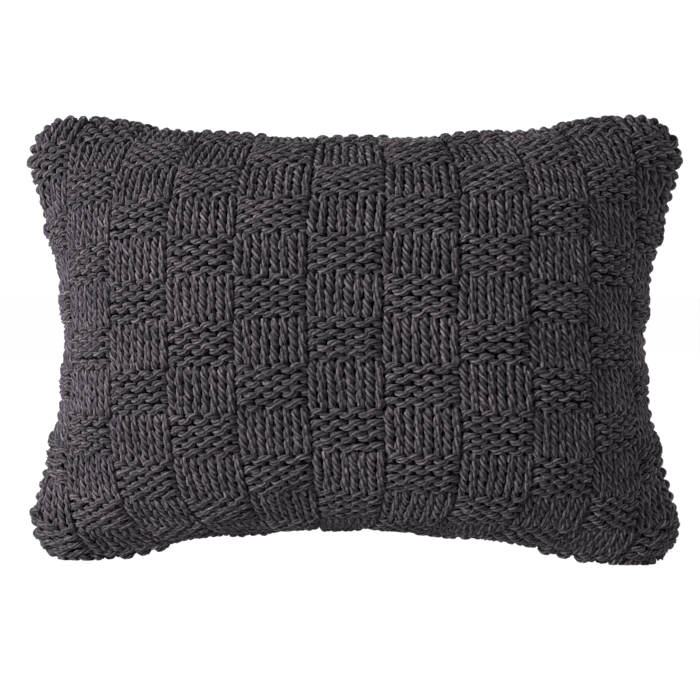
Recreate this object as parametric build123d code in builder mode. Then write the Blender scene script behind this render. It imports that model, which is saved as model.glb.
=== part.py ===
from build123d import *
import os
from math import asin, cos, degrees, radians, sin, sqrt

# Lumbar throw pillow standing on its long lower edge: a thick hand-knit cover over a woven
# lining, a stuffed inner cushion, and a coil zip set into the lower edge.
# X runs along the pillow, Y through it with the front towards -Y, Z is up.
# The origin is on the floor under the middle of the pillow.

# --- driving dimensions, mm ---
waist_half_width = 228.0
corner_flare = 42.0
waist_top = 332.0
ear_rise = 19.0
ear_place = 215.0
ear_power = 2.2
arch_height = 25.0
arch_radius = 720.0
half_thickness = 85.0
knit_thickness = 13.0
seam_half_width = 5.0

# how fast the fabric turns over towards its edges
side_spread = 0.42
upright_spread = 0.47
spread_power = 2.2
crown_edge_power = 2.4
crown_power = 0.9
crown_share_power = 1.6

# how the four corners are rounded off
side_corner_cut = 0.087
side_corner_power = 11
top_corner_cut = 0.09
bottom_corner_cut = 0.13
top_corner_power = 22

# layers under the knit, as distances in from its outer face
lining_inset = 17.0
lining_thickness = 0.8
label_inset = 18.0
label_thickness = 0.3
shell_inset = 18.6
shell_thickness = 0.8
fill_inset = 19.6

# zip, measured from the inner face of the knit's lower edge
tape_rise = 0.9
tape_thickness = 0.8
tape_inner = 1.1
tape_outer = 12.0
tape_clearance = 0.3
zip_half_length = 155.0
coil_half_length = 146.0
coil_height = 2.2
coil_outer = 3.0
stop_gap = 0.3
stop_length = 2.8
stop_outer = 3.2
slider_travel_half = 140.0

slider_length = 10.0
slider_corner_radius = 2.0
plate_thickness = 1.2
upper_plate_step = 0.5
upper_plate_thickness = 1.0
lower_plate_top = -1.7
upper_plate_bottom = 2.1
slider_half_width = 4.0
flange_length = 6.0
flange_thickness = 0.6
flange_top = 0.4
wedge_half_width = 0.7
wedge_length = 3.0
wedge_set_back = 0.4
wedge_corner_radius = 0.5
lug_half_width = 1.0
lug_length = 5.2
lug_height = 2.4
lug_window_length = 3.0
lug_window_height = 1.5

pull_pin_radius = 0.45
pull_drop = 3.65
pull_length = 14.0
pull_width = 5.0
pull_neck_width = 3.8
pull_shoulder = 2.0
pull_pin_bite = 0.3
pull_thickness = 1.0
eye_half_width = 1.35
eye_end = 3.4
pull_heel = 0.6

seam_outer_inset = 2.5
seam_inner_inset = 12.5
seam_clearance = 0.2
bottom_seam_start = 158.0
side_seam_top = 300.0

label_width = 32.0
label_height = 45.0
label_place_x = 95.0
label_place_z = 75.0

surface_steps = 22
surface_tolerance = 0.1
outline_steps = 16

arch_centre_z = arch_height + knit_thickness - arch_radius
travel_half_angle = degrees(asin(slider_travel_half / arch_radius))

os.makedirs("parts", exist_ok=True)


def write(part, label):
    part.label = label
    export_step(part, "parts/" + label + ".step")


# --- the pillow's form ---
def crown(t):
    """Fullness across one direction: 1 in the middle, 0 at the edge."""
    return max(0.0, 1 - abs(t) ** crown_edge_power) ** crown_power


def spread(t, amount):
    """Where a knitted row lies: rows crowd together as the fabric turns over the edge."""
    return t * (1 + amount - amount * abs(t) ** spread_power)


def lower_edge(x, inset):
    return arch_centre_z - knit_thickness + inset + sqrt(arch_radius**2 - x**2)


def upper_edge(x, inset):
    return waist_top - inset + ear_rise * abs(x / ear_place) ** ear_power


def cover_point(u, v, inset):
    """A point of the front face, u along and v up the pillow from -1 to 1."""
    p = spread(u, side_spread * crown(v) ** crown_share_power)
    q = spread(v, upright_spread * crown(u) ** crown_share_power)
    corner_cut = top_corner_cut if v > 0 else bottom_corner_cut
    half_width = waist_half_width + corner_flare * q**2
    half_width = half_width * (1 - side_corner_cut * abs(q) ** side_corner_power) - inset
    x = half_width * p
    rise = (1 + q * (1 - corner_cut * abs(p) ** top_corner_power)) / 2
    z = lower_edge(x, inset) * (1 - rise) + upper_edge(x, inset) * rise
    fullness = 0.0
    if abs(u) < 1 and abs(v) < 1:
        fullness = 1 / (1 / crown(u) + 1 / crown(v) - 1)
    return Vector(x, -(half_thickness - inset) * fullness, z)


def edge_even(index, steps):
    """Steps from -1 to 1 that are finer towards both edges."""
    return sin(radians(90) * (2 * index / steps - 1))


def pillow_body(inset):
    """The whole stuffed form at a distance in from the knit's outer face."""
    steps = [edge_even(i, surface_steps) for i in range(surface_steps + 1)]
    points = [[cover_point(u, v, inset) for u in steps] for v in steps]
    front = Face.make_surface_from_array_of_points(points, tol=surface_tolerance)
    back = front.mirror(Plane.XZ)
    return Solid(Shell([front, back]))


def front_shell(outer, inner, cut_y):
    """The front of a layer: the outer form less the inner one, ahead of the cut."""
    with BuildPart() as half:
        add(outer)
        add(inner, mode=Mode.SUBTRACT)
        split(bisect_by=Plane.XZ.offset(cut_y), keep=Keep.TOP)
        split(bisect_by=Plane.XY, keep=Keep.TOP)
    return half.part


def back_shell(outer, inner, cut_y):
    """The back of a layer: the outer form less the inner one, behind the cut."""
    with BuildPart() as half:
        add(outer)
        add(inner, mode=Mode.SUBTRACT)
        split(bisect_by=Plane.XZ.offset(-cut_y), keep=Keep.BOTTOM)
        split(bisect_by=Plane.XY, keep=Keep.TOP)
    return half.part


def swept_strip(across, rise, ends):
    """A flat strip that follows the arch of the lower edge; each argument is a low and a high value."""
    near_y, far_y = across
    low, high = rise
    start_x, end_x = ends
    start_angle = degrees(asin(start_x / arch_radius))
    end_angle = degrees(asin(end_x / arch_radius))
    start = Plane(
        origin=(0, 0, arch_centre_z),
        x_dir=(0, 1, 0),
        z_dir=(cos(radians(start_angle)), 0, -sin(radians(start_angle))),
    )
    with BuildPart() as strip:
        with BuildSketch(start):
            with Locations(((near_y + far_y) / 2, arch_radius + (low + high) / 2)):
                Rectangle(abs(far_y - near_y), high - low)
        revolve(axis=Axis((0, 0, arch_centre_z), (0, 1, 0)), revolution_arc=end_angle - start_angle)
    return strip.part


# --- knitted cover ---
outer_body = pillow_body(0.0)
knit_inside = pillow_body(knit_thickness)
write(front_shell(outer_body, knit_inside, seam_half_width), "front_knit_panel")
write(back_shell(outer_body, knit_inside, seam_half_width), "back_knit_panel")


# --- seam yarn that draws the two knit panels together round the edge ---
def outline(inset):
    """The pillow's outline as four splines that meet at the corners."""
    steps = [edge_even(i, outline_steps) for i in range(outline_steps + 1)]
    Spline(*[tuple(cover_point(t, -1, inset))[::2] for t in steps])
    Spline(*[tuple(cover_point(1, t, inset))[::2] for t in steps])
    Spline(*[tuple(cover_point(-t, 1, inset))[::2] for t in steps])
    Spline(*[tuple(cover_point(-1, -t, inset))[::2] for t in steps])


def seam_piece(low_corner, high_corner):
    """The part of the seam that lies inside a window of X and Z."""
    low_x, low_z = low_corner
    high_x, high_z = high_corner
    with BuildPart() as seam:
        with BuildSketch(Plane.XZ):
            with BuildLine():
                outline(seam_outer_inset)
            make_face()
            with BuildLine():
                outline(seam_inner_inset)
            make_face(mode=Mode.SUBTRACT)
        extrude(amount=seam_half_width - seam_clearance, both=True)
        with BuildSketch(Plane.XZ):
            with BuildLine():
                Polyline((low_x, low_z), (high_x, low_z), (high_x, high_z), (low_x, high_z), close=True)
            make_face()
        extrude(amount=seam_half_width, both=True, mode=Mode.INTERSECT)
    return seam.part


past_side = 2 * waist_half_width
past_top = 2 * waist_top
write(seam_piece((-past_side, 0), (-bottom_seam_start, side_seam_top)), "seam_left")
write(seam_piece((bottom_seam_start, 0), (past_side, side_seam_top)), "seam_right")
write(seam_piece((-past_side, side_seam_top), (past_side, past_top)), "seam_top")

# --- woven lining ---
lining_outside = pillow_body(lining_inset)
lining_inside = pillow_body(lining_inset + lining_thickness)
write(front_shell(lining_outside, lining_inside, 0), "front_lining")
write(back_shell(lining_outside, lining_inside, 0), "back_lining")

# --- inner cushion: two woven panels sewn round a fibre filling ---
shell_outside = pillow_body(shell_inset)
shell_inside = pillow_body(shell_inset + shell_thickness)
write(front_shell(shell_outside, shell_inside, 0), "insert_front_panel")
write(back_shell(shell_outside, shell_inside, 0), "insert_back_panel")
write(Part() + pillow_body(fill_inset), "insert_fill")

# --- blank care label, flat between the lining and the inner cushion at the back ---
label_outside = pillow_body(label_inset)
label_inside = pillow_body(label_inset + label_thickness)
with BuildPart() as care_label:
    add(label_outside)
    add(label_inside, mode=Mode.SUBTRACT)
    with BuildSketch(Plane.XZ):
        with Locations((label_place_x, label_place_z)):
            Rectangle(label_width, label_height)
    extrude(amount=-half_thickness, mode=Mode.INTERSECT)
write(care_label.part, "care_label")


# --- zip: every fixed piece is swept along the arch of the lower edge ---
coil_top = tape_rise
coil_bottom = tape_rise - coil_height
tape_top = tape_rise + tape_thickness
stop_start = coil_half_length + stop_gap
stop_end = stop_start + stop_length
tape_ends = (-zip_half_length, zip_half_length)
coil_ends = (-coil_half_length, coil_half_length)
coil_rise = (coil_bottom, coil_top)
tape_room = pillow_body(knit_thickness + tape_clearance)

for side, name in ((-1, "front"), (1, "back")):
    with BuildPart() as tape:
        add(swept_strip((side * tape_inner, side * tape_outer), (tape_rise, tape_top), tape_ends))
        add(tape_room, mode=Mode.INTERSECT)
    write(tape.part, "zip_tape_" + name)
    coil = swept_strip((side * tape_inner, side * coil_outer), coil_rise, coil_ends)
    write(coil, "zip_coil_" + name)
    stop = swept_strip((side * tape_inner, side * stop_outer), coil_rise, (stop_start, stop_end))
    write(stop, "zip_top_stop_" + name)

bottom_stop = swept_strip((-stop_outer, stop_outer), coil_rise, (-stop_end, -stop_start))
write(bottom_stop, "zip_bottom_stop")

# --- slider, drawn on the arch at the closed end of the zip ---
along = (cos(radians(travel_half_angle)), 0, -sin(radians(travel_half_angle)))
outward = (sin(radians(travel_half_angle)), 0, cos(radians(travel_half_angle)))
arch_centre = Vector(0, 0, arch_centre_z)
slider_base = Plane(origin=arch_centre + Vector(*outward) * arch_radius, x_dir=along, z_dir=outward)
lower_plate_bottom = lower_plate_top - plate_thickness
slider_side = slider_half_width - flange_thickness / 2
upper_plate_half_width = slider_half_width - upper_plate_step

with BuildPart() as slider:
    with BuildSketch(slider_base.offset(lower_plate_bottom)):
        RectangleRounded(slider_length, 2 * slider_half_width, slider_corner_radius)
    extrude(amount=plate_thickness)
    with BuildSketch(slider_base.offset(upper_plate_bottom)):
        RectangleRounded(slider_length, 2 * upper_plate_half_width, slider_corner_radius)
    extrude(amount=upper_plate_thickness)
    with BuildSketch(slider_base.offset(lower_plate_top)):
        with Locations((0, slider_side), (0, -slider_side)):
            Rectangle(flange_length, flange_thickness)
    extrude(amount=flange_top - lower_plate_top)
    with BuildSketch(slider_base.offset(lower_plate_top)):
        with Locations((wedge_set_back + (wedge_length - slider_length) / 2, 0)):
            RectangleRounded(wedge_length, 2 * wedge_half_width, wedge_corner_radius)
    extrude(amount=upper_plate_bottom - lower_plate_top)
    with BuildSketch(slider_base.offset(lower_plate_bottom)):
        Rectangle(lug_length, 2 * lug_half_width)
    extrude(amount=-lug_height)
    with BuildSketch(slider_base.offset(lower_plate_bottom)):
        Rectangle(lug_window_length, 2 * lug_half_width)
    extrude(amount=-lug_window_height, mode=Mode.SUBTRACT)
write(slider.part, "zip_slider")

# --- pull, lying along the zip with its cross bar through the slider's loop ---
pull_plane = slider_base.offset(-pull_drop)
eye_length = eye_end + pull_heel
eye_centre = (pull_heel - eye_end) / 2
wide = pull_width / 2
narrow = pull_neck_width / 2
neck = -eye_end - pull_shoulder
tip_start = pull_shoulder - pull_length

with BuildPart() as pull:
    with BuildSketch(pull_plane.offset(-pull_thickness / 2)):
        with BuildLine():
            Polyline(
                (pull_heel, wide),
                (-eye_end, wide),
                (neck, narrow),
                (tip_start, wide),
                (-pull_length, narrow),
                (-pull_length, -narrow),
                (tip_start, -wide),
                (neck, -narrow),
                (-eye_end, -wide),
                (pull_heel, -wide),
                close=True,
            )
        make_face()
        with Locations((eye_centre, 0)):
            Rectangle(eye_length, 2 * eye_half_width, mode=Mode.SUBTRACT)
    extrude(amount=pull_thickness)
    with BuildSketch(Plane(origin=pull_plane.origin, x_dir=along, z_dir=(0, 1, 0))):
        Circle(pull_pin_radius)
    extrude(amount=eye_half_width + pull_pin_bite, both=True)
write(pull.part, "zip_pull")

arch_angle = radians(travel_half_angle)
pin_x = (arch_radius - pull_drop) * sin(arch_angle)
pin_z = arch_centre_z + (arch_radius - pull_drop) * cos(arch_angle)
print("arc centre z", arch_centre_z, "travel degrees", 2 * travel_half_angle)
print("pull pin at x", pin_x, "z", pin_z)
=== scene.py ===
import bpy
import math
import numpy as np
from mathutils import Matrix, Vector


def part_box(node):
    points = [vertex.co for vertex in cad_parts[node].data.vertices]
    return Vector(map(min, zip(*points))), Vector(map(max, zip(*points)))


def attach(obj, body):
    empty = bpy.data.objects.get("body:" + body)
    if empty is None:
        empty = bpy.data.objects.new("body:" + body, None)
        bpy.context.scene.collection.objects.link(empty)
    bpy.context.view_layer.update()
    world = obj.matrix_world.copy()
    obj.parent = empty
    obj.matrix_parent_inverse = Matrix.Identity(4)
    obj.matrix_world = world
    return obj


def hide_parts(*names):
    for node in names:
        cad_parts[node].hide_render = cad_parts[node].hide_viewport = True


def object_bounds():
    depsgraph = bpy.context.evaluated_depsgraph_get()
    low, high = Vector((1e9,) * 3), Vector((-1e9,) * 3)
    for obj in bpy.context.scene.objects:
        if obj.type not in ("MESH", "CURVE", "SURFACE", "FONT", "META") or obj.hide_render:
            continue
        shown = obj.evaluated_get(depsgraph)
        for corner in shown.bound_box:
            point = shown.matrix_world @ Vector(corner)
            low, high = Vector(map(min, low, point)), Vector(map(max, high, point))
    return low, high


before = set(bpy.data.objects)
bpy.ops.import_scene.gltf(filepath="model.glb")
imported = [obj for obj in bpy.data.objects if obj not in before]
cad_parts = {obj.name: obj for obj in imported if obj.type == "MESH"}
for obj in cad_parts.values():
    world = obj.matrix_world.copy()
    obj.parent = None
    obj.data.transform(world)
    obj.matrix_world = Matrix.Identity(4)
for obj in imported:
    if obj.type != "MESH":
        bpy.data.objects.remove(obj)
cadLow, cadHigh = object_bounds()
print("frame loaded")

mm = 0.001
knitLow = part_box("front_knit_panel")[0]

# the stuffed form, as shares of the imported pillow's own box
cadWidth = cadHigh.x - cadLow.x
form = {
    "halfThickness": -knitLow.y,
    "waistHalfWidth": 0.4515 * cadWidth,
    "flare": 0.0832 * cadWidth,
    "waistTop": 0.954 * cadHigh.z,
    "earRise": 0.0546 * cadHigh.z,
    "earPlace": 0.4258 * cadWidth,
    "earPower": 2.2,
    "archHeight": 0.0718 * cadHigh.z,
    "archRadius": 0.720,
    "sideSpread": 0.42,
    "uprightSpread": 0.47,
    "spreadPower": 2.2,
    "crownEdge": 2.4,
    "crownPower": 0.9,
    "crownShare": 1.6,
    "sideCut": 0.087,
    "sideCutPower": 11,
    "topCut": 0.09,
    "bottomCut": 0.13,
    "topCutPower": 22,
}

# the basket weave and the yarn it is knitted from
knit = {
    "stitchesAcross": 44,
    "coursesUp": 52,
    "block": 4,
    "hiddenAcross": 1.5,
    "hiddenUp": 2,
    "edgePower": 8,
    "turnReach": 0.15,
    "tuckStart": 0.965,
    "tuckReach": 0.038,
    "depth": 6.3 * mm,
    "seamGap": 5.6 * mm,
    "zipGap": 9.0 * mm,
    "zipEdge": 0.93,
    "zipReach": 0.66,
    "stitchWidth": 14.4 * mm,
    "courseHeight": 8.6 * mm,
    "loopSwing": 0.18,
    "loopReach": 0.74,
    "squareness": 0.08,
    "firmness": 1.5,
    "loopDepth": 3.9 * mm,
    "blockRelief": 1.7 * mm,
    "blockRounding": 2.2,
    "yarnRadius": 3.25 * mm,
    "bendThinning": 0.20,
    "plies": 4,
    "twistPitch": 22 * mm,
    "samples": 22,
    "shadeLiftScale": 7 * mm,
    "offFloor": 0.4 * mm,
    "seed": 11,
    "driftAcross": [
        (-0.003, 0, 0), (-0.013, 0, 1), (0.048, 0, 2), (0.029, 0, 3), (-0.085, 0, 4),
        (-0.008, 1, 0), (0.006, 1, 1), (-0.081, 1, 2), (0.162, 1, 3), (0.054, 2, 0),
        (-0.056, 2, 1), (0.040, 2, 2), (0.079, 3, 0), (-0.122, 3, 1), (-0.067, 4, 0),
    ],
    "driftUp": [
        (0.020, 0, 0), (0.000, 0, 1), (-0.082, 0, 2), (0.180, 0, 3), (-0.081, 0, 4),
        (0.012, 1, 0), (-0.039, 1, 1), (0.060, 1, 2), (0.094, 1, 3), (-0.043, 2, 0),
        (0.112, 2, 1), (0.125, 2, 2), (-0.017, 3, 0), (0.011, 3, 1), (0.027, 4, 0),
    ],
}


# how uneven hand-worked loops are, the first four as shares of a stitch, a loop or a radius
unevenness = {
    "swing": 0.12,
    "across": 0.04,
    "reach": 0.06,
    "up": 0.08,
    "girth": 0.04,
    "lift": 0.25 * mm,
}


# the form of the pillow
def crown(t):
    return np.maximum(1e-9, 1 - np.abs(t) ** form["crownEdge"]) ** form["crownPower"]


def spread(t, amount):
    return t * (1 + amount - amount * np.abs(t) ** form["spreadPower"])


def formPoint(u, v, inset, gap):
    # the front face at a depth below the knit's outer surface; gap keeps it off the seam
    p = spread(u, form["sideSpread"] * crown(v) ** form["crownShare"])
    q = spread(v, form["uprightSpread"] * crown(u) ** form["crownShare"])
    cut = np.where(v > 0, form["topCut"], form["bottomCut"])
    halfWidth = form["waistHalfWidth"] + form["flare"] * q**2
    halfWidth = halfWidth * (1 - form["sideCut"] * np.abs(q) ** form["sideCutPower"]) - inset
    x = halfWidth * p
    rise = (1 + q * (1 - cut * np.abs(p) ** form["topCutPower"])) / 2
    lower = form["archHeight"] - form["archRadius"] + inset + np.sqrt(form["archRadius"] ** 2 - x**2)
    upper = form["waistTop"] - inset + form["earRise"] * np.abs(x / form["earPlace"]) ** form["earPower"]
    z = lower * (1 - rise) + upper * rise
    fullness = 1 / (1 / crown(u) + 1 / crown(v) - 1)
    y = -gap - (form["halfThickness"] - inset - gap) * fullness
    return np.stack([x, y, z], axis=-1)


def drift(u, v, terms):
    return sum(amount * u**a * v**b for amount, a, b in terms)


def stitchPlace(u, v):
    # where the cover's own grid of stitches has settled on the stuffed form
    uIn = np.clip(u, -1, 1)
    vIn = np.clip(v, -1, 1)
    movedU = u + (1 - uIn**2) * drift(uIn, vIn, knit["driftAcross"])
    movedV = v + (1 - vIn**2) * drift(uIn, vIn, knit["driftUp"])
    return movedU, movedV


def turned(points, back):
    # the back face is the front one turned half round the upright axis
    return points * np.array([-1.0, -1.0, 1.0]) if back else points


# the inner cushion is blown up by a cloth simulation, and every layer over it takes its shape
stuffing = {
    "across": 56,
    "up": 40,
    "inset": 19.0 * mm,
    "pressure": 3.5,
    "ease": -0.035,
    "frames": 20,
    "quality": 5,
    "mostMove": 6.0 * mm,
    "coverFollows": (0.07, 0.7, 0.07),  # share of the move along X, Y and Z
}


def gridQuads(grid):
    return np.stack([grid[:-1, :-1], grid[:-1, 1:], grid[1:, 1:], grid[1:, :-1]], axis=-1).reshape(-1, 4)


def fineGrid(across, up):
    # rows and columns that stand closer together near the edges
    u = np.sin(np.linspace(-math.pi / 2, math.pi / 2, across + 1))
    v = np.sin(np.linspace(-math.pi / 2, math.pi / 2, up + 1))
    return np.meshgrid(u, v)


def cushionMesh():
    # one closed bag, with the two faces sharing the points of their edge
    across, up = stuffing["across"], stuffing["up"]
    uu, vv = fineGrid(across, up)
    plain = formPoint(uu, vv, stuffing["inset"], 0.0)
    front = turned(plain, False)
    rear = turned(plain, True)[:, ::-1]
    count = (across + 1) * (up + 1)
    number = np.arange(count).reshape(up + 1, across + 1)
    rearNumber = number + count
    for edge in (np.s_[0, :], np.s_[-1, :], np.s_[:, 0], np.s_[:, -1]):
        rearNumber[edge] = number[edge]
    used, packed = np.unique(np.concatenate([number.ravel(), rearNumber.ravel()]), return_inverse=True)
    everyPoint = np.concatenate([front.reshape(-1, 3), rear.reshape(-1, 3)])[used]
    number = packed[:count].reshape(up + 1, across + 1)
    rearNumber = packed[count:].reshape(up + 1, across + 1)
    faces = []
    for grid, outwards in ((number, True), (rearNumber, False)):
        quad = gridQuads(grid)
        faces += (quad if outwards else quad[:, ::-1]).tolist()
    return everyPoint, faces, number, rearNumber


def simulateCushion():
    # how far the pressed cloth moves from the plain form, for the front and the back
    everyPoint, faces, number, rearNumber = cushionMesh()
    mesh = bpy.data.meshes.new("blownCushion")
    mesh.from_pydata(everyPoint.tolist(), [], faces)
    blown = bpy.data.objects.new("blownCushion", mesh)
    bpy.context.scene.collection.objects.link(blown)
    seam = blown.vertex_groups.new(name="seam")
    seamLine = np.unique(np.concatenate([number[0], number[-1], number[:, 0], number[:, -1]]))
    seam.add(seamLine.tolist(), 1.0, "REPLACE")
    cloth = blown.modifiers.new("pressed", "CLOTH")
    cloth.settings.use_pressure = True
    cloth.settings.uniform_pressure_force = stuffing["pressure"]
    cloth.settings.effector_weights.gravity = 0
    cloth.settings.vertex_group_mass = "seam"
    cloth.settings.shrink_min = stuffing["ease"]
    cloth.settings.quality = stuffing["quality"]
    cloth.collision_settings.use_collision = False
    scene = bpy.context.scene
    scene.frame_start = 1
    scene.frame_end = stuffing["frames"]
    cloth.point_cache.frame_end = stuffing["frames"]
    for step in range(1, stuffing["frames"] + 1):
        scene.frame_set(step)
    pressed = blown.evaluated_get(bpy.context.evaluated_depsgraph_get())
    after = np.array([vertex.co[:] for vertex in pressed.data.vertices])
    scene.frame_set(1)
    bpy.data.objects.remove(blown)
    move = after - everyPoint
    size = np.linalg.norm(move, axis=1, keepdims=True)
    move *= np.minimum(1, stuffing["mostMove"] / np.maximum(size, 1e-9))
    rearMove = move[rearNumber][:, ::-1] * np.array([-1.0, -1.0, 1.0])
    return np.stack([move[number], rearMove])


stuffed = simulateCushion()
mostMoved = float(np.linalg.norm(stuffed, axis=-1).max()) / mm
print("cushion simulated, it moved up to", round(mostMoved, 1), "mm")


def settle(u, v, back):
    # the simulated move at a place on the form, before the back is turned round
    field = stuffed[1 if back else 0]
    up, across = field.shape[0] - 1, field.shape[1] - 1
    a = (np.arcsin(np.clip(u, -1, 1)) / math.pi + 0.5) * across
    b = (np.arcsin(np.clip(v, -1, 1)) / math.pi + 0.5) * up
    i = np.clip(a.astype(int), 0, across - 1)
    j = np.clip(b.astype(int), 0, up - 1)
    s = (a - i)[..., None]
    t = (b - j)[..., None]
    low = field[j, i] * (1 - s) + field[j, i + 1] * s
    high = field[j + 1, i] * (1 - s) + field[j + 1, i + 1] * s
    return (low * (1 - t) + high * t) * np.array(stuffing["coverFollows"])


def fading(distance):
    # near 1 on the low side of 0, near 0 on the high side
    return 1 / (1 + np.exp(distance * 60))


def coverPoint(u, v, inset, back=False):
    # a place on the cover; past its edge it goes on in a straight line
    edge = 0.996
    step = 0.003
    uIn = np.clip(u, -edge, edge)
    vIn = np.clip(v, -edge, edge)
    besideZip = fading(vIn + knit["zipEdge"]) * fading(np.abs(uIn) - knit["zipReach"])
    gap = knit["seamGap"] + (knit["zipGap"] - knit["seamGap"]) * besideZip
    here = formPoint(uIn, vIn, inset, gap)
    pastU = (u - uIn)[..., None] * (here - formPoint(uIn - np.sign(uIn) * step, vIn, inset, gap))
    pastV = (v - vIn)[..., None] * (here - formPoint(uIn, vIn - np.sign(vIn) * step, inset, gap))
    point = here + np.sign(uIn)[..., None] * pastU / step + np.sign(vIn)[..., None] * pastV / step
    return turned(point + settle(uIn, vIn, back), back)


def unit(vectors):
    return vectors / np.maximum(1e-12, np.linalg.norm(vectors, axis=-1, keepdims=True))


def knitPoint(u, v, back):
    return coverPoint(*stitchPlace(u, v), knit["depth"], back)


def knitFrame(u, v, back):
    # point, outward normal and the lengths of a step in u and in v
    e = 0.004
    across = (knitPoint(u + e, v, back) - knitPoint(u - e, v, back)) / (2 * e)
    upward = (knitPoint(u, v + e, back) - knitPoint(u, v - e, back)) / (2 * e)
    return knitPoint(u, v, back), unit(np.cross(across, upward)), across, upward


# the yarn
def wobble(rng, x, waves):
    # a slow uneven wave about zero
    total = np.zeros_like(x)
    for _ in range(waves):
        total += np.sin(x * rng.uniform(0.3, 2.2) + rng.uniform(0, 2 * math.pi))
    return total / math.sqrt(waves)


def blockSign(row):
    return -1.0 if row % 2 else 1.0


def widened(t, hidden):
    # the outermost stitches are lost in the seam, and those beside them fill their place
    outermost = 1 - hidden
    wide = t + hidden * t * (np.abs(t) / outermost) ** knit["edgePower"] / outermost
    past = np.maximum(0, np.abs(wide) - knit["tuckStart"])
    tucked = knit["tuckStart"] + knit["tuckReach"] * np.tanh(past / knit["tuckReach"])
    return np.where(past > 0, np.sign(wide) * tucked, wide)


def edgeGrowth(t, hidden):
    # about how much wider a stitch is here than it would be with none hidden
    return 1 + hidden * (knit["edgePower"] + 1) * np.clip(np.abs(t), 0, 1) ** knit["edgePower"]


def courseLine(course, rng):
    # the middle line of one course of loops, from edge to edge
    across = knit["stitchesAcross"]
    up = knit["coursesUp"]
    block = knit["block"]
    hidden = knit["hiddenAcross"]
    s = np.linspace(hidden, across - hidden, round((across - 2 * hidden) * knit["samples"]) + 1)
    rows = up // block
    ownRow = blockSign(rows - course // block)
    nextRow = blockSign(rows - min(course + 1, up - 1) // block)
    columnSign = -np.tanh(6.0 * np.sin(math.pi * s / block))  # which side of the fabric the legs lie on
    own = columnSign * ownRow
    following = columnSign * nextRow
    legs = np.tanh(-knit["firmness"] * np.cos(4 * math.pi * s)) / math.tanh(knit["firmness"])
    squareness = knit["squareness"]
    height = -(np.cos(2 * math.pi * s) - squareness * np.cos(6 * math.pi * s)) / (1 - squareness)
    upper = 0.5 + 0.5 * np.tanh(5.0 * height)
    depth = legs * (own * (1 - upper) + following * upper)
    swing = knit["loopSwing"] * (1 + unevenness["swing"] * wobble(rng, s, 3))
    x = s + swing * np.sin(4 * math.pi * s) + unevenness["across"] * wobble(rng, s, 4)
    reach = knit["loopReach"] * height * (1 + unevenness["reach"] * wobble(rng, s, 3))
    y = course + 0.5 + reach + unevenness["up"] * wobble(rng, s, 5)
    columnWave = -np.tanh(knit["blockRounding"] * np.sin(math.pi * x / block))
    rowWave = np.tanh(knit["blockRounding"] * np.sin(math.pi * y / block)) * blockSign(rows)
    relief = -knit["blockRelief"] * columnWave * rowWave + unevenness["lift"] * wobble(rng, s, 5)
    u = widened(2 * x / across - 1, 2 * hidden / across)
    v = widened(2 * y / up - 1, 2 * knit["hiddenUp"] / up)
    girth = 1 - knit["bendThinning"] * (1 - legs) / 2
    return u, v, depth, relief, girth


def yarnTube(points, outward, radius, rng, turnStart=0.0):
    # a plied strand: every ring turns with the twist, so the plies run along the mesh
    plies = knit["plies"]
    tangent = unit(np.gradient(points, axis=0))
    side = outward - np.sum(outward * tangent, axis=1, keepdims=True) * tangent
    e1 = unit(side)
    e2 = np.cross(tangent, e1)
    length = np.concatenate([[0], np.cumsum(np.linalg.norm(np.diff(points, axis=0), axis=1))])
    twist = turnStart - 2 * math.pi * length / knit["twistPitch"]
    ply = np.repeat(np.arange(plies), 3) * 2 * math.pi / plies
    offset = np.tile(np.radians([-45, -18, 18]), plies)
    reach = np.tile([0.64, 0.97, 0.97], plies)
    # painted shade and highlight mark: 0 in the valley between plies, 1 on their crests; the yarn material
    # paints the valleys darker and the crests lighter
    height = np.tile([0.0, 1.0, 1.0], plies)
    angle = (ply + offset)[None, :] + twist[:, None]
    uneven = 1 + 0.035 * np.sin(length[:, None] / (4.3 * mm) + ply[None, :] * 2.7)
    r = radius[:, None] * reach[None, :] * uneven
    ring = (
        points[:, None, :]
        + (r * np.cos(angle))[..., None] * e1[:, None, :]
        + (r * np.sin(angle))[..., None] * e2[:, None, :]
    )
    # every point's place along and round the untwisted strand, for its fibres
    shape = (len(length), len(ply))
    start = rng.uniform(0, 9)
    around = knit["yarnRadius"] * np.stack([np.cos(ply + offset), np.sin(ply + offset)])
    places = [length[:, None] + start, around[0][None, :], around[1][None, :]]
    strand = np.stack([np.broadcast_to(place, shape) for place in places], axis=-1)
    crest = np.repeat(height[None, :], len(length), axis=0)
    return ring, strand, crest


def tubeFaces(rings, sides):
    i = np.arange(rings - 1)[:, None] * sides
    k = np.arange(sides)[None, :]
    a = i + k
    b = i + (k + 1) % sides
    return np.stack([a, b, b + sides, a + sides], axis=-1).reshape(-1, 4)


def tubeEnds(rings, sides):
    last = (rings - 1) * sides
    return [list(range(sides))[::-1], list(range(last, last + sides))]


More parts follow.
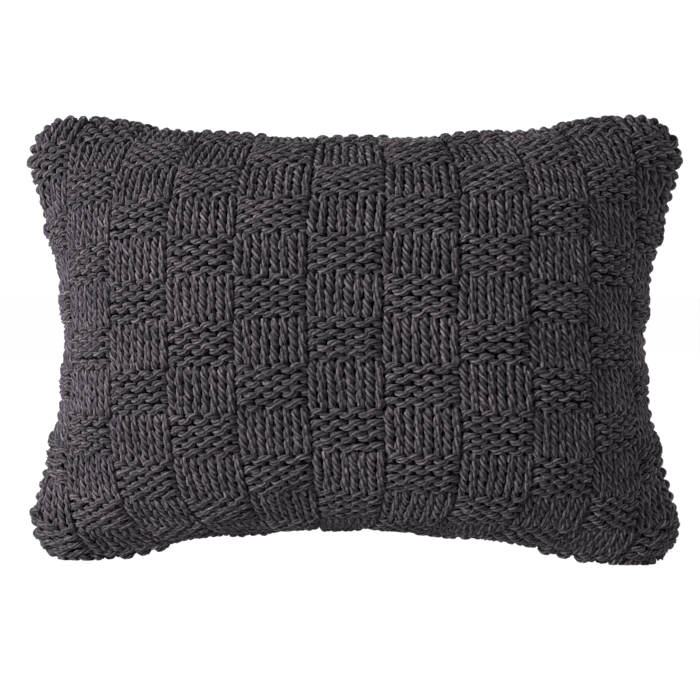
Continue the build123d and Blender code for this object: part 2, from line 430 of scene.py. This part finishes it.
def meshFromArrays(name, vertices, quads, caps, attributes):
    mesh = bpy.data.meshes.new(name)
    loops = np.concatenate([quads.reshape(-1)] + [np.asarray(c) for c in caps]).astype(np.int32)
    sizes = np.concatenate([np.full(len(quads), 4), [len(c) for c in caps]]).astype(np.int32)
    starts = np.concatenate([[0], np.cumsum(sizes)[:-1]]).astype(np.int32)
    mesh.vertices.add(len(vertices))
    mesh.vertices.foreach_set("co", vertices.astype(np.float32).reshape(-1))
    mesh.loops.add(len(loops))
    mesh.loops.foreach_set("vertex_index", loops)
    mesh.polygons.add(len(sizes))
    mesh.polygons.foreach_set("loop_start", starts)
    mesh.polygons.foreach_set("loop_total", sizes)
    mesh.polygons.foreach_set("use_smooth", np.ones(len(sizes), dtype=bool))
    for key, values in attributes.items():
        isVector = values.shape[-1] == 3
        layer = mesh.attributes.new(key, "FLOAT_VECTOR" if isVector else "FLOAT", "POINT")
        layer.data.foreach_set("vector" if isVector else "value", values.astype(np.float32).reshape(-1))
    mesh.update(calc_edges=True)
    mesh.validate()
    piece = bpy.data.objects.new(name, mesh)
    bpy.context.scene.collection.objects.link(piece)
    return piece


def knitBand(band, back):
    # four courses worked to and fro with one strand, turning at the edges
    block = knit["block"]
    across = knit["stitchesAcross"]
    rng = np.random.default_rng(knit["seed"] + band * 7 + (500 if back else 0))
    runs = []
    hidden = knit["hiddenUp"]
    courses = range(max(hidden, band * block), min(knit["coursesUp"] - hidden, (band + 1) * block))
    for k, course in enumerate(courses):
        run = np.stack(courseLine(course, rng))
        if k % 2:
            run = run[:, ::-1]
        if k:
            # the turn at the edge, out and up to the next course
            t = np.linspace(0, 1, 9)[1:-1]
            turn = runs[-1][:, -1:] * (1 - t) + run[:, :1] * t
            outwards = 1.0 if k % 2 else -1.0
            turn[0] += outwards * knit["turnReach"] * np.sin(math.pi * t) * 2 / across
            runs.append(turn)
        runs.append(run)
    u, v, depth, relief, girth = np.concatenate(runs, axis=1)
    point, normal, alongU, alongV = knitFrame(u, v, back)
    wider = edgeGrowth(u, 2 * knit["hiddenAcross"] / across)
    taller = edgeGrowth(v, 2 * hidden / knit["coursesUp"])
    stitch = np.linalg.norm(alongU, axis=1) * wider * 2 / across / knit["stitchWidth"]
    course = np.linalg.norm(alongV, axis=1) * taller * 2 / knit["coursesUp"] / knit["courseHeight"]
    room = np.clip(np.sqrt(stitch * course), 0.55, 1.05)  # 1 where a stitch has its full size
    radius = knit["yarnRadius"] * girth * room**0.85
    radius = radius * (1 + unevenness["girth"] * wobble(rng, np.arange(len(u)) / 9.0, 4))
    line = point + normal * (depth * knit["loopDepth"] * room**0.4 + relief)[:, None]
    ring, strand, crest = yarnTube(line, normal, radius, rng, rng.uniform(0, 6.28))
    tone = np.repeat(wobble(rng, np.arange(len(line)) / 60.0, 3)[:, None], ring.shape[1], axis=1)
    # painted shade: how far each point of the yarn stands out along the fabric's normal, which the yarn
    # material uses to darken the deep places between loops
    lift = np.sum((ring - point[:, None, :]) * normal[:, None, :], axis=-1) / knit["shadeLiftScale"]
    side = "back" if back else "front"
    marks = {"strand": strand, "crest": crest, "tone": tone, "lift": lift}
    yarnPiece(f"{side}Knit{band + 1:02d}", ring, marks, [side + "_knit_panel"])


def yarnPiece(name, ring, marks, nodes):
    count, sides = ring.shape[0], ring.shape[1]
    vertices = ring.reshape(-1, 3)
    vertices[:, 2] = np.maximum(vertices[:, 2], knit["offFloor"])
    piece = meshFromArrays(name, vertices, tubeFaces(count, sides), tubeEnds(count, sides), marks)
    piece.data.materials.append(yarn)
    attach(piece, "root")
    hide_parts(*nodes)


# materials
class Socket:
    # a shader socket that can stand in sums
    def __init__(self, tree, socket):
        self.tree = tree
        self.socket = socket
        self.node = socket.node

    def maths(self, operation, other=None, swapped=False):
        pair = [other, self] if swapped else [self, other]
        terms = {place: term for place, term in enumerate(pair) if term is not None}
        return makeNode(self.tree, "ShaderNodeMath", {"operation": operation}, terms)

    def __add__(self, other):
        return self.maths("ADD", other)

    __radd__ = __add__

    def __sub__(self, other):
        return self.maths("SUBTRACT", other)

    def __rsub__(self, other):
        return self.maths("SUBTRACT", other, True)

    def __mul__(self, other):
        return self.maths("MULTIPLY", other)

    __rmul__ = __mul__


def makeNode(tree, kind, settings=None, inputs=None, output=0):
    node = tree.nodes.new(kind)
    for key, value in (settings or {}).items():
        if key == "stops":
            ramp = node.color_ramp
            while len(ramp.elements) < len(value):
                ramp.elements.new(0.5)
            for element, (place, colour) in zip(ramp.elements, value):
                element.position = place
                element.color = (*colour, 1) if len(colour) == 3 else colour
        else:
            setattr(node, key, value)
    for key, value in (inputs or {}).items():
        if isinstance(value, Socket):
            tree.links.new(value.socket, node.inputs[key])
        else:
            node.inputs[key].default_value = value
    return Socket(tree, node.outputs[output])


def newMaterial(name, roughness, specular=0.5):
    material = bpy.data.materials.new(name)
    material.use_nodes = True
    shader = material.node_tree.nodes["Principled BSDF"]
    shader.inputs["Roughness"].default_value = roughness
    shader.inputs["Specular IOR Level"].default_value = specular
    return material, material.node_tree, shader


# the yarn's colours: the dark stop is painted shade for the valleys between plies and the deep gaps between
# loops; the bright stop is light fibre flecks and painted highlight on the ply crests
yarnLook = {
    "paintedShadowTone": (0.0035, 0.0031, 0.0050),
    "body": (0.051, 0.0430, 0.0535),
    "bright": (0.240, 0.200, 0.222),
    "roughness": 0.92,
    "specular": 0.1,
    "sheen": 0.12,
    "fibreBump": 0.8,
    "fibreAcross": 1150,
    "deepShadeLift": (-0.22, 0.55),
    "fibreAlong": 110,
}


def yarnMaterial():
    material, tree, shader = newMaterial("charcoalYarn", yarnLook["roughness"], yarnLook["specular"])
    strand = makeNode(tree, "ShaderNodeAttribute", {"attribute_name": "strand"}, output="Vector")
    crest = makeNode(tree, "ShaderNodeAttribute", {"attribute_name": "crest"}, output="Fac")
    tone = makeNode(tree, "ShaderNodeAttribute", {"attribute_name": "tone"}, output="Fac")
    grain = (yarnLook["fibreAlong"], yarnLook["fibreAcross"], yarnLook["fibreAcross"])
    stretched = makeNode(tree, "ShaderNodeVectorMath", {"operation": "MULTIPLY"}, {0: strand, 1: grain})
    fineNoise = {"Vector": stretched, "Scale": 1.0, "Detail": 2.0, "Roughness": 0.6}
    fibres = makeNode(tree, "ShaderNodeTexNoise", {}, fineNoise)
    place = makeNode(tree, "ShaderNodeTexCoord", {}, output="Object")
    mottle = makeNode(tree, "ShaderNodeTexNoise", {}, {"Vector": place, "Scale": 420.0, "Detail": 4.0})
    # painted shade: yarn that lies deep in the fabric, by its lift, fades to the dark stop, and the ply crest
    # mark paints the valleys darker and the crests lighter; the fibre and mottle noise and the tone are the
    # yarn's own unevenness
    lift = makeNode(tree, "ShaderNodeAttribute", {"attribute_name": "lift"}, output="Fac")
    low, high = yarnLook["deepShadeLift"]
    fade = {0: lift, 1: low, 2: high, 3: 0.0, 4: 1.0}
    paintedGapShade = makeNode(tree, "ShaderNodeMapRange", {"interpolation_type": "SMOOTHSTEP"}, fade)
    mix = paintedGapShade * (crest * 0.50 + (fibres - 0.5) * 1.25 + (mottle - 0.5) * 0.8 + tone * 0.04 + 0.06)
    colour = makeNode(
        tree,
        "ShaderNodeValToRGB",
        {"stops": [(0.0, yarnLook["paintedShadowTone"]), (0.5, yarnLook["body"]), (1.0, yarnLook["bright"])]},
        {"Fac": mix},
    )
    tree.links.new(colour.socket, shader.inputs["Base Color"])
    relief = {"Strength": yarnLook["fibreBump"], "Distance": 0.6 * mm, "Height": fibres + mottle * 0.6}
    bump = makeNode(tree, "ShaderNodeBump", {}, relief, output="Normal")
    tree.links.new(bump.socket, shader.inputs["Normal"])
    shader.inputs["Sheen Weight"].default_value = yarnLook["sheen"]
    shader.inputs["Sheen Roughness"].default_value = 0.5
    return material


# seam yarn, whipped over the edge to draw the two panels together
seamYarn = {
    "inset": 5.8 * mm,
    "across": 3.4 * mm,
    "proud": 2.6 * mm,
    "yarnRadius": 2.7 * mm,
    "stitch": 9.5 * mm,
    "bottomStart": 158 * mm,
    "sideTop": 300 * mm,
    "step": 0.55 * mm,
}


def outline(inset):
    # the pillow's edge as one line, from the middle of the bottom round by the right
    t = np.linspace(-1, 1, 241)
    one = np.ones_like(t)
    sides = [(t, -one), (one, t), (-t, one), (-one, -t)]
    line = np.concatenate([formPoint(u, v, inset, 0.0)[:-1] for u, v in sides])
    line[:, 1] = 0
    first = int(np.argmin(np.abs(line[:240, 0])))
    return np.roll(line, -first, axis=0)


def evenly(line, step):
    length = np.concatenate([[0], np.cumsum(np.linalg.norm(np.diff(line, axis=0), axis=1))])
    places = np.linspace(0, length[-1], max(2, int(round(length[-1] / step)) + 1))
    return np.stack([np.interp(places, length, line[:, k]) for k in range(3)], axis=-1), places


def smoothed(path, reach):
    # rounds the corners off a line of points, and keeps its ends where they are
    kernel = np.hanning(2 * reach + 1)
    padded = np.pad(path, ((reach, reach), (0, 0)), mode="reflect", reflect_type="odd")
    return np.stack([np.convolve(padded[:, k], kernel / kernel.sum(), "valid") for k in range(3)], axis=-1)


def whippedSeam(name, line):
    rng = np.random.default_rng(knit["seed"] + len(name))
    path, places = evenly(line, seamYarn["step"])
    path = smoothed(path, 12)
    through = np.array([0.0, 1.0, 0.0])
    middle = np.array([0, 0, cadHigh.z / 2])
    out = np.cross(through, unit(np.gradient(path, axis=0)))
    out *= np.sign(np.sum(out * (path - middle), axis=1, keepdims=True))
    turn = 2 * math.pi * places / seamYarn["stitch"] + 0.25 * wobble(rng, places * 120, 4)
    strandLine = path + out * (seamYarn["proud"] * np.cos(turn))[:, None]
    strandLine[:, 1] += seamYarn["across"] * np.sin(turn)
    facing = unit(out * np.cos(turn)[:, None] + np.sin(turn)[:, None] * through)
    radius = seamYarn["yarnRadius"] * (1 + unevenness["girth"] * wobble(rng, places * 90, 4))
    ring, strand, crest = yarnTube(strandLine, facing, radius, rng)
    # painted shade: the turns of the whipped yarn that pass in behind the edge get a low lift, which the yarn
    # material darkens
    lift = np.repeat(0.2 + 0.7 * np.cos(turn)[:, None], ring.shape[1], axis=1)
    tone = np.zeros(ring.shape[:2])
    yarnPiece(name + "_yarn", ring, {"strand": strand, "crest": crest, "tone": tone, "lift": lift}, [name])


def makeSeams():
    line = outline(seamYarn["inset"])
    low, side = seamYarn["bottomStart"], seamYarn["sideTop"]
    whippedSeam("seam_right", line[(line[:, 0] > low) & (line[:, 2] < side)])
    whippedSeam("seam_top", line[line[:, 2] >= side])
    whippedSeam("seam_left", line[(line[:, 0] < -low) & (line[:, 2] < side)])


# layers under the knit
def sheetPiece(name, outer, inner, thread, nodes, slot, material):
    # a cloth of real thickness between two grids of points
    rows, columns = outer.shape[:2]
    number = np.arange(rows * columns).reshape(rows, columns)
    face = gridQuads(number)
    back = face[:, ::-1] + rows * columns
    ring = np.concatenate([number[0, :-1], number[:-1, -1], number[-1, :0:-1], number[:0:-1, 0]])
    after = np.roll(ring, -1)
    rim = np.stack([after, ring, ring + rows * columns, after + rows * columns], axis=-1)
    vertices = np.concatenate([outer.reshape(-1, 3), inner.reshape(-1, 3)])
    threads = np.concatenate([thread.reshape(-1, 3)] * 2)
    quads = np.concatenate([face, back, rim])
    piece = meshFromArrays(name, vertices, quads, [], {"thread": threads})
    piece.data.materials.append(material)
    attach(piece, "root")
    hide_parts(*nodes)
    return piece


def pucker(uu, vv):
    # the small gathers that sewing leaves along a seam
    phase = np.random.default_rng(layers["puckerSeed"]).uniform(0, 6)
    gathers = np.abs(vv) ** 8 * np.sin(uu * 70 + phase) + np.abs(uu) ** 8 * np.sin(vv * 52)
    return layers["pucker"] * gathers * ((1 - uu**2) ** 0.3 * (1 - vv**2) ** 0.3 + 1e-9)


def panelPiece(name, node, back, cloth, slot, material, puckered=False):
    uu, vv = fineGrid(*layers[cloth + "Grid"])
    inset = layers[cloth + "Inset"]
    faces = []
    for depth in (inset, inset + layers[cloth + "Thickness"]):
        points = formPoint(uu, vv, depth, layers["seamGap"]) + settle(uu, vv, back)
        if puckered:
            points[..., 1] += pucker(uu, vv)
        faces.append(turned(points, back))
    width = layers["clothWidth"] * (uu + 1) / 2
    height = layers["clothHeight"] * (vv + 1) / 2
    thread = np.stack([width, height, np.zeros_like(width)], axis=-1)
    return sheetPiece(name, *faces, thread, [node], slot, material)


def coverAt(x, z, inset, back):
    # the place on the form that has this x and z, found by a few steps of Newton's rule
    x = -x if back else x
    e = 1e-4
    most = 0.98
    u = x / cadHigh.x
    v = 2 * z / cadHigh.z - 1
    for _ in range(12):
        here = formPoint(u, v, inset, 0.0)
        du = (formPoint(u + e, v, inset, 0.0) - here) / e
        dv = (formPoint(u, v + e, inset, 0.0) - here) / e
        missX, missZ = x - here[..., 0], z - here[..., 2]
        size = du[..., 0] * dv[..., 2] - dv[..., 0] * du[..., 2]
        u = np.clip(u + (missX * dv[..., 2] - missZ * dv[..., 0]) / size, -most, most)
        v = np.clip(v + (missZ * du[..., 0] - missX * du[..., 2]) / size, -most, most)
    return turned(formPoint(u, v, inset, 0.0) + settle(u, v, back), back)


layers = {
    "liningInset": 17.0 * mm,
    "liningThickness": 0.8 * mm,
    "liningGrid": (96, 72),
    "liningFlat": (0.5, 0.37),
    "liningArea": 0.175,
    "shellInset": 18.6 * mm,
    "shellThickness": 0.7 * mm,
    "shellGrid": (120, 90),
    "clothWidth": 0.47,
    "clothHeight": 0.36,
    "seamGap": 0.2 * mm,
    "pucker": 0.15 * mm,
    "puckerSeed": 3,
    "fillInset": 19.6 * mm,
    "fillGap": 0.1 * mm,
    "fillLumps": 1.6 * mm,
    "fillGrid": (90, 66),
    "fillSeed": 31,
    "labelInset": 18.05 * mm,
    "labelThickness": 0.25 * mm,
    "labelFlat": (0.032, 0.045),
    "liningColours": [(0.008, 0.0075, 0.008), (0.034, 0.031, 0.034)],
    "shellColours": [(0.56, 0.55, 0.52), (0.80, 0.79, 0.76)],
    "labelColours": [(0.66, 0.65, 0.62), (0.84, 0.83, 0.81)],
    "tapeColours": [(0.014, 0.013, 0.014), (0.06, 0.056, 0.06)],
}


def weaveMaterial(name, colours, threadsPerMetre, roughness, specular, skew=0.0):
    material, tree, shader = newMaterial(name, roughness, specular)
    thread = makeNode(tree, "ShaderNodeAttribute", {"attribute_name": "thread"}, output="Vector")
    parted = makeNode(tree, "ShaderNodeSeparateXYZ", {}, {0: thread})
    acrossThread = Socket(tree, parted.node.outputs[0])
    upThread = Socket(tree, parted.node.outputs[1])
    turns = math.pi * threadsPerMetre
    warp = (acrossThread * turns + upThread * (turns * skew)).maths("SINE")
    weft = (upThread * turns).maths("SINE")
    crossing = warp * weft * 0.5 + 0.5
    slub = makeNode(tree, "ShaderNodeTexNoise", {}, {"Vector": thread, "Scale": 420.0, "Detail": 3.0})
    shade = crossing * 0.7 + (slub - 0.5) * 0.8 + 0.15
    stops = [(0.0, colours[0]), (1.0, colours[1])]
    colour = makeNode(tree, "ShaderNodeValToRGB", {"stops": stops}, {"Fac": shade})
    tree.links.new(colour.socket, shader.inputs["Base Color"])
    relief = {"Strength": 0.5, "Distance": 0.3 * mm, "Height": crossing + slub * 0.4}
    raised = makeNode(tree, "ShaderNodeBump", {}, relief, output="Normal")
    tree.links.new(raised.socket, shader.inputs["Normal"])
    return material


def fibreMaterial():
    material, tree, shader = newMaterial("polyesterFibre", 0.9, 0.2)
    place = makeNode(tree, "ShaderNodeTexCoord", {}, output="Object")
    clumps = {"Vector": place, "Scale": 55.0, "Detail": 6.0, "Distortion": 2.5}
    swirl = makeNode(tree, "ShaderNodeTexNoise", {}, clumps)
    stops = [(0.3, (0.62, 0.62, 0.61)), (0.7, (0.86, 0.86, 0.85))]
    colour = makeNode(tree, "ShaderNodeValToRGB", {"stops": stops}, {"Fac": swirl})
    tree.links.new(colour.socket, shader.inputs["Base Color"])
    relief = {"Strength": 0.8, "Distance": 1 * mm, "Height": swirl}
    raised = makeNode(tree, "ShaderNodeBump", {}, relief, output="Normal")
    tree.links.new(raised.socket, shader.inputs["Normal"])
    return material


def makeLayers():
    lining = weaveMaterial("liningCloth", layers["liningColours"], 900, 0.85, 0.2)
    shell = weaveMaterial("insertCloth", layers["shellColours"], 1100, 0.8, 0.25)
    satin = weaveMaterial("labelSatin", layers["labelColours"], 2400, 0.45, 0.45, skew=1.0)
    for back in (False, True):
        side = "back" if back else "front"
        panel = panelPiece(side + "LiningCloth", side + "_lining", back, "lining", "lining_cloth", lining)
        name, node = side + "InsertCloth", f"insert_{side}_panel"
        shellPanel = panelPiece(name, node, back, "shell", "insert_cloth", shell, puckered=True)
    makeFill()
    makeLabel(satin)


def makeFill():
    # one lumpy closed form that fills the inner cushion
    uu, vv = fineGrid(*layers["fillGrid"])
    halves = []
    for back in (False, True):
        lumps = np.zeros_like(uu)
        rng = np.random.default_rng(layers["fillSeed"] + back)
        for _ in range(26):
            a, b = rng.uniform(-26, 26, 2)
            lumps += np.sin(a * uu + b * vv + rng.uniform(0, 6.28))
        inset = layers["fillInset"] + layers["fillLumps"] * (0.5 + 0.5 * np.tanh(lumps / 3.5))
        halves.append(turned(formPoint(uu, vv, inset, layers["fillGap"]) + settle(uu, vv, back), back))
    front, rear = halves[0], halves[1][:, ::-1]
    place = np.zeros_like(front)
    fill = sheetPiece("polyesterFill", front, rear, place, ["insert_fill"], "fibre_fill", fibreMaterial())


def makeLabel(satin):
    low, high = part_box("care_label")
    x = np.linspace(low.x, high.x, 17)
    z = np.linspace(low.z, high.z, 25)
    xx, zz = np.meshgrid(x[::-1], z)
    outer = coverAt(xx, zz, layers["labelInset"], True)
    inner = coverAt(xx, zz, layers["labelInset"] + layers["labelThickness"], True)
    thread = np.stack([xx, zz, np.zeros_like(xx)], axis=-1)
    label = sheetPiece("blankLabel", outer, inner, thread, ["care_label"], "label_satin", satin)


# the zip in the lower edge
zipper = {
    "archRadius": 720 * mm,
    "archCentre": -682 * mm,
    "halfLength": 155 * mm,
    "coilHalfLength": 146 * mm,
    "tapeInner": 1.1 * mm,
    "tapeOuter": 12 * mm,
    "tapeRise": 0.9 * mm,
    "tapeThickness": 0.8 * mm,
    "tapeLift": 3.2 * mm,
    "tapeFlat": 4.5 * mm,
    "tapeSize": (0.0113, 0.311),
    "ribHeight": 0.12 * mm,
    "ribPitch": 1.35 * mm,
    "coilPitch": 1.45 * mm,
    "coilWire": 0.28 * mm,
    "coilMiddle": 1.95 * mm,
    "coilHalfWidth": 0.72 * mm,
    "coilHalfHeight": 0.8 * mm,
    "coilRise": -0.2 * mm,
}


def archPoint(x, y, rise):
    # a place on the arch that the zip follows; x is measured along the pillow
    angle = np.arcsin(x / zipper["archRadius"])
    reach = zipper["archRadius"] + rise
    return np.stack([reach * np.sin(angle), y + 0 * x, zipper["archCentre"] + reach * np.cos(angle)], axis=-1)


def makeTape(side, name, tapeCloth):
    x = np.linspace(-zipper["halfLength"], zipper["halfLength"], 241)
    y = np.linspace(zipper["tapeInner"], zipper["tapeOuter"], 15)
    xx, yy = np.meshgrid(x if side < 0 else x[::-1], y)
    bent = np.clip((yy - zipper["tapeFlat"]) / (zipper["tapeOuter"] - zipper["tapeFlat"]), 0, 1)
    rib = zipper["ribHeight"] * np.sin(yy / zipper["ribPitch"] * 2 * math.pi)
    rise = zipper["tapeRise"] + zipper["tapeLift"] * bent**2 + rib
    outer = archPoint(xx, side * yy, rise)[::-1]
    inner = archPoint(xx, side * yy, rise + zipper["tapeThickness"])[::-1]
    thread = np.stack([xx, yy, np.zeros_like(xx)], axis=-1)[::-1]
    tape = sheetPiece(name + "Tape", outer, inner, thread, ["zip_tape_" + name], "zip_tape", tapeCloth)


def makeZip():
    tapeCloth = weaveMaterial("zipTape", layers["tapeColours"], 1500, 0.75, 0.3, skew=0.8)
    nylon = moulded("nylonCoil", (0.03, 0.028, 0.03), 0.35, 0.5)
    for side, name in ((-1, "front"), (1, "back")):
        makeTape(side, name, tapeCloth)
        makeCoil(side, name, nylon)


def makeCoil(side, name, nylon):
    turns = int(2 * zipper["coilHalfLength"] / zipper["coilPitch"])
    angle = np.linspace(0, 2 * math.pi * turns, turns * 14 + 1)
    x = -zipper["coilHalfLength"] + 2 * zipper["coilHalfLength"] * angle / angle[-1]
    y = side * (zipper["coilMiddle"] - zipper["coilHalfWidth"] * np.cos(angle))
    line = archPoint(x, y, zipper["coilRise"] + zipper["coilHalfHeight"] * np.sin(angle))
    middle = archPoint(x, side * zipper["coilMiddle"], zipper["coilRise"])
    out = unit(line - middle)
    tangent = unit(np.gradient(line, axis=0))
    e1 = unit(out - np.sum(out * tangent, axis=1, keepdims=True) * tangent)
    e2 = np.cross(tangent, e1)
    sides = 6
    around = (np.arange(sides) * 2 * math.pi / sides)[None, :, None]
    away = np.cos(around) * e1[:, None, :] + np.sin(around) * e2[:, None, :]
    ring = line[:, None, :] + zipper["coilWire"] * away
    count = len(line)
    faces, ends = tubeFaces(count, sides), tubeEnds(count, sides)
    piece = meshFromArrays(name + "Coil", ring.reshape(-1, 3), faces, ends, {})
    piece.data.materials.append(nylon)
    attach(piece, "root")
    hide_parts("zip_coil_" + name)


def moulded(name, colour, roughness, specular, metallic=0.0):
    # a smooth finish with slight unevenness in tone and gloss
    material, tree, shader = newMaterial(name, roughness, specular)
    place = makeNode(tree, "ShaderNodeTexCoord", {}, output="Object")
    cloud = makeNode(tree, "ShaderNodeTexNoise", {}, {"Vector": place, "Scale": 600.0, "Detail": 4.0})
    light = tuple(min(1.0, c * 1.8) for c in colour)
    tint = makeNode(tree, "ShaderNodeValToRGB", {"stops": [(0.3, colour), (0.75, light)]}, {"Fac": cloud})
    tree.links.new(tint.socket, shader.inputs["Base Color"])
    gloss = cloud * 0.25 + (roughness - 0.12)
    tree.links.new(gloss.socket, shader.inputs["Roughness"])
    shader.inputs["Metallic"].default_value = metallic
    return material


def finishMetal():
    dark = moulded("darkMetal", (0.075, 0.073, 0.075), 0.38, 0.5, 0.85)
    for node in ("zip_slider", "zip_pull", "zip_top_stop_front", "zip_top_stop_back", "zip_bottom_stop"):
        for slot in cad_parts[node].material_slots:
            slot.material = dark


yarn = yarnMaterial()
for back in (False, True):
    for band in range(knit["coursesUp"] // knit["block"]):
        knitBand(band, back)
print("knit made")
makeSeams()
print("seams made")
makeLayers()
makeZip()
finishMetal()
print("layers and zip made")

# floor, light and camera
studio = {
    "floor": 12.0,
    "pale": 1.05,
    "ambient": 0.125,
    "lamps": {  # power in watts, size, place
        "key": (120.0, 1.0, (-2.1, -1.25, 0.7)),
        "fill": (10.0, 1.0, (0.9, -2.2, 0.5)),
        "side": (45.0, 1.6, (2.3, 0.8, 0.7)),
        "rear": (110.0, 1.6, (-0.9, 2.6, 0.7)),
    },
    "lampsAim": (0, 0, 0.17),
    "cameraDistance": 2.3,
    "frameWidth": 0.546,
    "cameraAzimuth": 4.0,
    "cameraElevation": 3.0,
    "aim": (-0.0023, 0.0, 0.166),
}


def makeFloor():
    half = studio["floor"] / 2
    mesh = bpy.data.meshes.new("floor")
    corners = [(-half, -half, 0), (half, -half, 0), (half, half, 0), (-half, half, 0)]
    mesh.from_pydata(corners, [], [(0, 1, 2, 3)])
    floor = bpy.data.objects.new("floor", mesh)
    bpy.context.scene.collection.objects.link(floor)
    material, tree, shader = newMaterial("paleFloor", 0.9, 0.1)
    shader.inputs["Base Color"].default_value = (0.6, 0.6, 0.6, 1)
    glow = makeNode(tree, "ShaderNodeEmission", {}, {"Color": (1, 1, 1, 1), "Strength": studio["pale"]})
    seen = makeNode(tree, "ShaderNodeLightPath", output="Is Camera Ray")
    matte = Socket(tree, shader.outputs[0])
    mixed = makeNode(tree, "ShaderNodeMixShader", {}, {0: seen * 0.94, 1: matte, 2: glow})
    tree.links.new(mixed.socket, tree.nodes["Material Output"].inputs["Surface"])
    mesh.materials.append(material)


def makeLamps():
    for name, (power, size, place) in studio["lamps"].items():
        data = bpy.data.lights.new(name, "AREA")
        data.energy = power
        data.size = size
        lamp = bpy.data.objects.new(name, data)
        lamp.location = place
        ahead = Vector(studio["lampsAim"]) - Vector(place)
        lamp.rotation_euler = ahead.to_track_quat("-Z", "Y").to_euler()
        bpy.context.scene.collection.objects.link(lamp)


def makeCamera():
    azimuth = math.radians(studio["cameraAzimuth"])
    elevation = math.radians(studio["cameraElevation"])
    level = math.cos(elevation)
    back = Vector((math.sin(azimuth) * level, -math.cos(azimuth) * level, math.sin(elevation)))
    data = bpy.data.cameras.new("camera")
    data.lens = data.sensor_width * studio["cameraDistance"] / studio["frameWidth"]
    data.clip_end = 50
    camera = bpy.data.objects.new("camera", data)
    camera.location = Vector(studio["aim"]) + back * studio["cameraDistance"]
    camera.rotation_mode = "QUATERNION"
    camera.rotation_quaternion = (-back).to_track_quat("-Z", "Y")
    bpy.context.scene.collection.objects.link(camera)
    bpy.context.scene.camera = camera


def makeWorld():
    # white to look at, but only a little light on the pillow
    world = bpy.data.worlds.new("studio")
    world.use_nodes = True
    tree = world.node_tree
    background = tree.nodes["Background"]
    seen = makeNode(tree, "ShaderNodeLightPath", output="Is Camera Ray")
    brightness = seen * (studio["pale"] - studio["ambient"]) + studio["ambient"]
    background.inputs["Color"].default_value = (1, 1, 1, 1)
    tree.links.new(brightness.socket, background.inputs["Strength"])
    bpy.context.scene.world = world
    bpy.context.scene.view_settings.view_transform = "Standard"


makeFloor()
makeLamps()
makeCamera()
makeWorld()
print("studio made")
